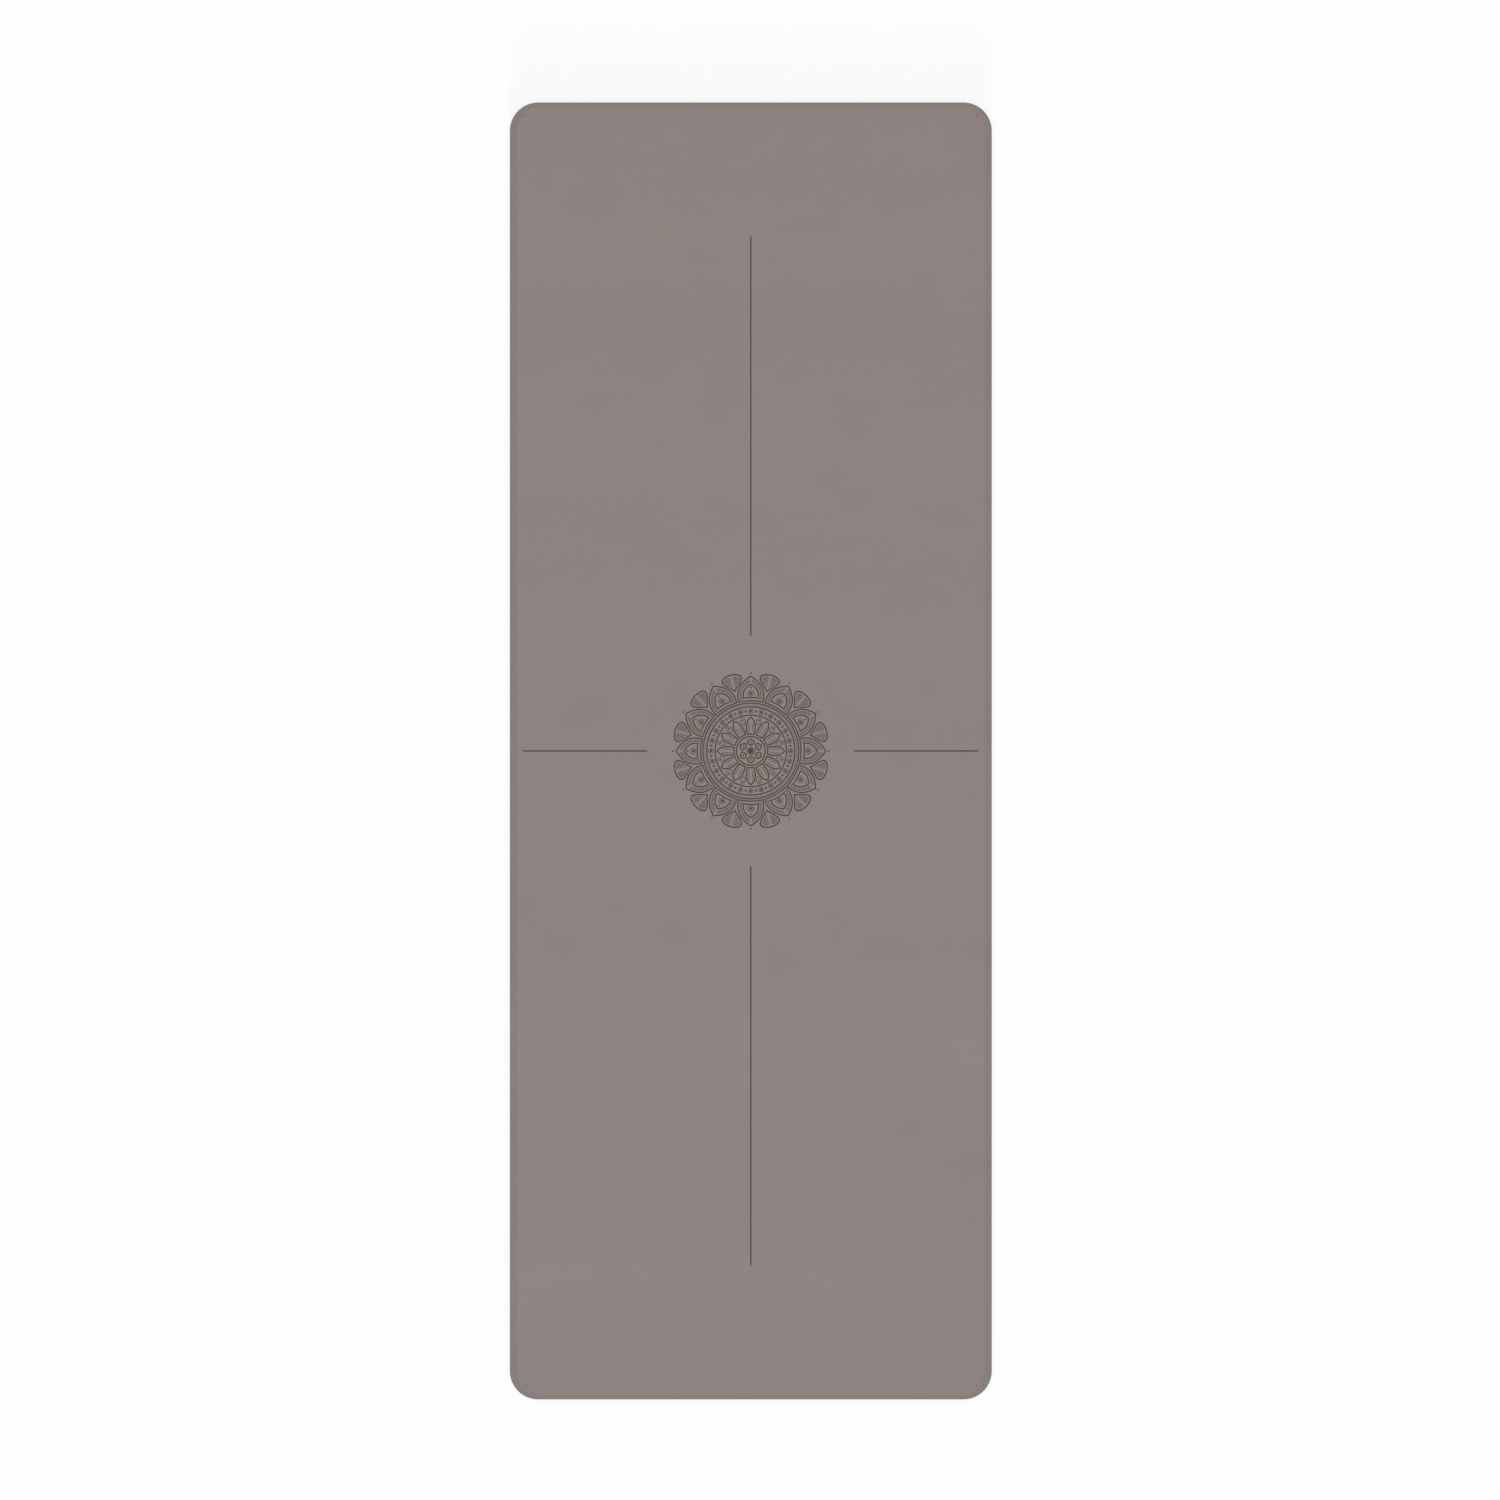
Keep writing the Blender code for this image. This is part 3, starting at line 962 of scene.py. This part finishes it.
between_petals = math.pi / PETAL_COUNT
front_petal = motif_outline(FRONT_PETAL_SHARES, petal_half_angle, PETAL_STEPS)
front_heart = motif_outline(FRONT_HEART_SHARES, petal_half_angle, PETAL_STEPS)
middle_petal = motif_outline(MIDDLE_PETAL_SHARES, petal_half_angle, PETAL_STEPS)
between_leaf = motif_outline(BETWEEN_LEAF_SHARES, leaf_half_angle, LEAF_STEPS)
back_leaf = motif_outline(BACK_LEAF_SHARES, leaf_half_angle, LEAF_STEPS, ROUND_CROWDING)
seed_leaf = motif_outline(SEED_LEAF_SHARES, leaf_half_angle, LEAF_STEPS)

for share in RING_SHARES:
    etch(circle(share * ROSETTE_RADIUS), STROKE_WIDTH)
etch(front_petal, STROKE_WIDTH, PETAL_COUNT)
etch(front_heart, STROKE_WIDTH, PETAL_COUNT)
etch(middle_petal, STROKE_WIDTH, PETAL_COUNT)
etch(between_leaf, HAIR_WIDTH, PETAL_COUNT, between_petals)
etch(back_leaf, STROKE_WIDTH, PETAL_COUNT, between_petals)
etch(seed_leaf, STROKE_WIDTH, SEED_LEAF_COUNT)
etch_veins(front_petal, PETAL_COUNT, heart=front_heart)
etch_veins(middle_petal, PETAL_COUNT)
etch_veins(back_leaf, PETAL_COUNT, between_petals)

etch(circle(SEED_RADIUS), STROKE_WIDTH, outlined=False)
etch(circle(SEED_RING_RADIUS), HAIR_WIDTH)
for share, count in ((BEAD_ROW_SHARE, BEAD_COUNT), (HEART_BEAD_SHARE, PETAL_COUNT)):
    etch(circle(BEAD_RADIUS, up_at(share)), STROKE_WIDTH, count, outlined=False)
    etch(circle(BEAD_RING_RADIUS, up_at(share)), HAIR_WIDTH, count)
bead_turn = math.pi / BEAD_COUNT
etch(lozenge(up_at(BEAD_ROW_SHARE)), HAIR_WIDTH, BEAD_COUNT, bead_turn, outlined=False)
for share, count, first_turn in (
    (HEART_DOT_SHARE, PETAL_COUNT, 0),
    (TIP_DOT_SHARE, PETAL_COUNT, 0),
    (LEAF_DOT_SHARE, PETAL_COUNT, between_petals),
    (SEED_DOT_SHARE, SEED_LEAF_COUNT, 0),
):
    etch(circle(DOT_RADIUS, up_at(share)), HAIR_WIDTH, count, first_turn, outlined=False)
for number in range(RAY_COUNT):
    way = point_at(1, math.tau * (number + 0.5) / RAY_COUNT)
    start = BEAD_RING_RADIUS + VEIN_CLEARANCE
    ray = [up_at(HEART_BEAD_SHARE) + way * (start + RAY_LENGTH * step / 2) for step in range(3)]
    if depth_inside(ray[2], front_heart) > STROKE_WIDTH + HAIR_WIDTH:
        etch(ribbon(ray, HAIR_WIDTH), HAIR_WIDTH, PETAL_COUNT, outlined=False)

# A twisted rope of leaning dashes fills the narrow band between the two outer rings
rope_room = (RING_SHARES[0] - RING_SHARES[1]) * ROSETTE_RADIUS - STROKE_WIDTH
rope_middle = RING_SHARES[1] * ROSETTE_RADIUS + rope_room / 2
rope_half = rope_room / 2 - VEIN_CLEARANCE
lean = Vector((1, 1)).normalized() * rope_half
rope_dash = [Vector((0, rope_middle)) + lean * step for step in (-1, 0, 1)]
etch(ribbon(rope_dash, HAIR_WIDTH), HAIR_WIDTH, ROPE_DASH_COUNT, outlined=False)

long_start = ROSETTE_RADIUS + LONG_LINE_CLEARANCE
long_end = mat_length / 2 - LONG_LINE_END_MARGIN
cross_start = ROSETTE_RADIUS + CROSS_LINE_CLEARANCE
cross_end = mat_width / 2 - CROSS_LINE_SIDE_MARGIN
long_line = straight_line(Vector((0, long_start)), Vector((0, long_end)))
cross_line = straight_line(Vector((cross_start, 0)), Vector((cross_end, 0)))
etch(long_line, LINE_WIDTH, 2, outlined=False)
etch(cross_line, LINE_WIDTH, 2, outlined=False)
for side in (-1, 1):
    pin_x = side * (mat_width / 2 - PIN_MARK_SIDE_MARGIN)
    pin_mark = circle(PIN_MARK_RADIUS, Vector((pin_x, mat_length / 2 - PIN_MARK_END_MARGIN)))
    etch(pin_mark, HAIR_WIDTH, 2, outlined=False, burn=PIN_MARK_BURN)

for across, depth, dark in RIM_PROFILE_SHARES:
    rim_line = outline(across * RIM_SIDE_WIDTH, across * RIM_END_WIDTH)
    add_plan_loop(rim_line, depth * RIM_DROP, 0, dark)
for point in net_inside(NET_TO_RIM):
    off_lines = min(abs(point.x), abs(point.y)) > NET_TO_LINE
    if off_lines and point.length > ROSETTE_RADIUS + LINE_WIDTH:
        plan_points.append(point)
        plan_marks.append((0, 0, 0))

plan, faces, origins = triangles(plan_points, plan_lines, len(rim_ring))
verts = []
for point, origin in zip(plan, origins):
    if origin < len(rim_ring):
        verts.append(rim_ring[origin])
    else:
        verts.append(bm.verts.new((*point, skin_high.z - plan_marks[origin][0])))
        verts[-1][rim_layer] = plan_marks[origin][2]
use_faces = []
for numbers in faces:
    face = bm.faces.new([verts[number] for number in numbers])
    for corner in face.loops:
        corner[burn_layer] = max(plan_marks[origins[number]][1] for number in numbers)
    use_faces.append(face)
edge_faces, ring = rounded_edge(
    bm, rim_ring, SKIN_EDGE_ROUND, lambda height, turned_so_far: height - turned_so_far
)
under_ring = ring_over(bm, ring, [skin_low.z] * len(ring))
edge_faces.append(join_rings(bm, ring, under_ring))
under_faces = fill_ring(bm, under_ring, skin_low.z)
# The cut edge takes the rim's darkening too, partly pressed skin and partly painted shade
for vert in {vert for faces in edge_faces for face in faces for vert in face.verts}:
    vert[rim_layer] = 1
for vert in bm.verts:
    vert[crest_layer] = lift(*vert.co.xy)

# A flat map of the skin, so that its colours can be kept in one picture. The etched faces lie
# apart from the rest and larger, which keeps their edges clean. Scales are in pictures a metre.
MAP_MARGIN = 0.02
ETCHED_SCALE = 2.25
CROSS_SCALE = 0.75
UNDER_SCALE = 0.27
EDGE_ROWS = 11
EDGE_ROW_HEIGHT = 0.012
ROSETTE_ROOM_SHARE = 1.01

rosette_room = ROSETTE_RADIUS * ROSETTE_ROOM_SHARE
face_scale = (1 - 2 * MAP_MARGIN) / mat_length
map_left = MAP_MARGIN * 2 + mat_width * face_scale
map_middle = map_left + ETCHED_SCALE * rosette_room
rosette_middle = Vector((map_middle, 1 - MAP_MARGIN - ETCHED_SCALE * rosette_room))
cross_height = rosette_middle.y - ETCHED_SCALE * rosette_room - MAP_MARGIN
edge_bottom = 2 * MAP_MARGIN + mat_width * UNDER_SCALE
edge_length = 1 - 3 * MAP_MARGIN - map_left
skin_map = bm.loops.layers.uv.new("OFBake")


def on_face(x, y):
    return (
        MAP_MARGIN + (x + mat_width / 2) * face_scale,
        MAP_MARGIN + (y + mat_length / 2) * face_scale,
    )


def on_rosette(x, y):
    return rosette_middle.x + x * ETCHED_SCALE, rosette_middle.y + y * ETCHED_SCALE


def on_long_line(x, y):
    return 1 - MAP_MARGIN + x * ETCHED_SCALE, on_face(x, y)[1]


def on_cross_line(x, y):
    return map_middle + x * CROSS_SCALE, cross_height + y * ETCHED_SCALE


def under_face(x, y):
    return (
        map_left + (y + mat_length / 2) * UNDER_SCALE,
        MAP_MARGIN + (x + mat_width / 2) * UNDER_SCALE,
    )


for face in use_faces + under_faces:
    middle = face.calc_center_median()
    on_map = under_face
    if middle.z > (skin_low.z + skin_high.z) / 2:
        on_map = on_face
        if face.loops[0][burn_layer]:
            on_map = on_rosette
            if abs(middle.y) > long_end:
                on_map = on_face
            elif middle.xy.length > rosette_room:
                on_map = on_long_line if abs(middle.y) > abs(middle.x) else on_cross_line
    for corner in face.loops:
        corner[skin_map].uv = on_map(*corner.vert.co.xy)
columns = math.ceil(len(rim_ring) / EDGE_ROWS)
for band, faces in enumerate(edge_faces):
    for number, face in enumerate(faces):
        row, column = divmod(number, columns)
        for corner, (right, up) in zip(face.loops, ((0, 0), (1, 0), (1, 1), (0, 1))):
            across = (column + right) / columns * edge_length
            height = (row + (band + up) / (len(edge_faces) + 1)) * EDGE_ROW_HEIGHT
            corner[skin_map].uv = (map_left + across, edge_bottom + height)

# The colour changes in broad bands across the mat and in patches that lean to green or to red.
# The crests of the waves are painted lighter, as painted light. The skin's roughness runs from lands to
# pits.
SKIN_COLOUR = (0.2530, 0.2106, 0.1995, 1)
CREST_PAINTED_LIGHT = 1.038
RIM_PRESSED_AND_SHADE_TINT = (0.895, 0.905, 0.905, 1)
BAND_PATCH = (0.9, 0.11, 0.5)
BAND_SPREAD = (0.04, 0.04, 0.04)
HUE_PATCH = (0.09, 0.06, 0.09)
HUE_SPREAD = (-0.03, 0.11, -0.05)
SKIN_PORE = 0.00045
SKIN_PORE_DEPTH = 0.00002
SKIN_PORE_TINT = (0.95, 0.95, 0.95, 1)
SKIN_ROUGHNESS = (0.56, 0.70)
ETCHED_COLOUR = (0.082, 0.048, 0.036, 1)
ETCHED_PATCH = (0.004, 0.004, 0.004)
ETCHED_SPREAD = (0.5, 0.5, 0.5)
ETCHED_ROUGHNESS = 0.88

etched_polyurethane, tree, shader = new_finish("etched_polyurethane")
bands = placed_group(
    tree, soft_tone, Colour=SKIN_COLOUR, Patch_Size=BAND_PATCH, Spread=BAND_SPREAD
)
hues = placed_group(tree, soft_tone, Patch_Size=HUE_PATCH, Spread=HUE_SPREAD)
link(tree, (bands, 0), (hues, "Colour"))
# Painted light: the skin is painted lighter where the mat stands highest on its waves
at_crest = new_node(tree, "ShaderNodeAttribute", {"attribute_name": "crest"})
lit_crests = new_node(tree, "ShaderNodeVectorMath", {"operation": "SCALE"})
link(tree, (hues, 0), (lit_crests, 0))
link(tree, level_between(tree, (at_crest, "Fac"), 1.0, CREST_PAINTED_LIGHT), (lit_crests, "Scale"))
# The rim is darker, partly pressed skin and partly painted shade on its slope and cut edge
at_rim = new_node(tree, "ShaderNodeAttribute", {"attribute_name": "rim"})
rim_pressed_and_shaded = mixed_colour(tree, (at_rim, "Fac"), (lit_crests, 0), RIM_PRESSED_AND_SHADE_TINT, "MULTIPLY")
pores = placed_group(tree, fine_pores, Pore_Size=SKIN_PORE)
grained = mixed_colour(tree, (pores, "Pit"), rim_pressed_and_shaded, SKIN_PORE_TINT, "MULTIPLY")
scorched = placed_group(
    tree, soft_tone, Colour=ETCHED_COLOUR, Patch_Size=ETCHED_PATCH, Spread=ETCHED_SPREAD
)
burn = new_node(tree, "ShaderNodeAttribute", {"attribute_name": "burn"})
link(tree, mixed_colour(tree, (burn, "Fac"), grained, (scorched, 0)), (shader, "Base Color"))
face_roughness = level_between(tree, (pores, "Pit"), *SKIN_ROUGHNESS)
all_roughness = new_node(tree, "ShaderNodeMix", {"data_type": "FLOAT"}, B=ETCHED_ROUGHNESS)
link(tree, (burn, "Fac"), (all_roughness, "Factor"))
link(tree, face_roughness, (all_roughness, "A"))
link(tree, (all_roughness, "Result"), (shader, "Roughness"))
link(tree, bumped(tree, (pores, "Height"), SKIN_PORE_DEPTH), (shader, "Normal"))

etched_skin = finished_piece("etched_skin", bm, etched_polyurethane)
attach(etched_skin, "root")
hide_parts("polyurethane_skin")
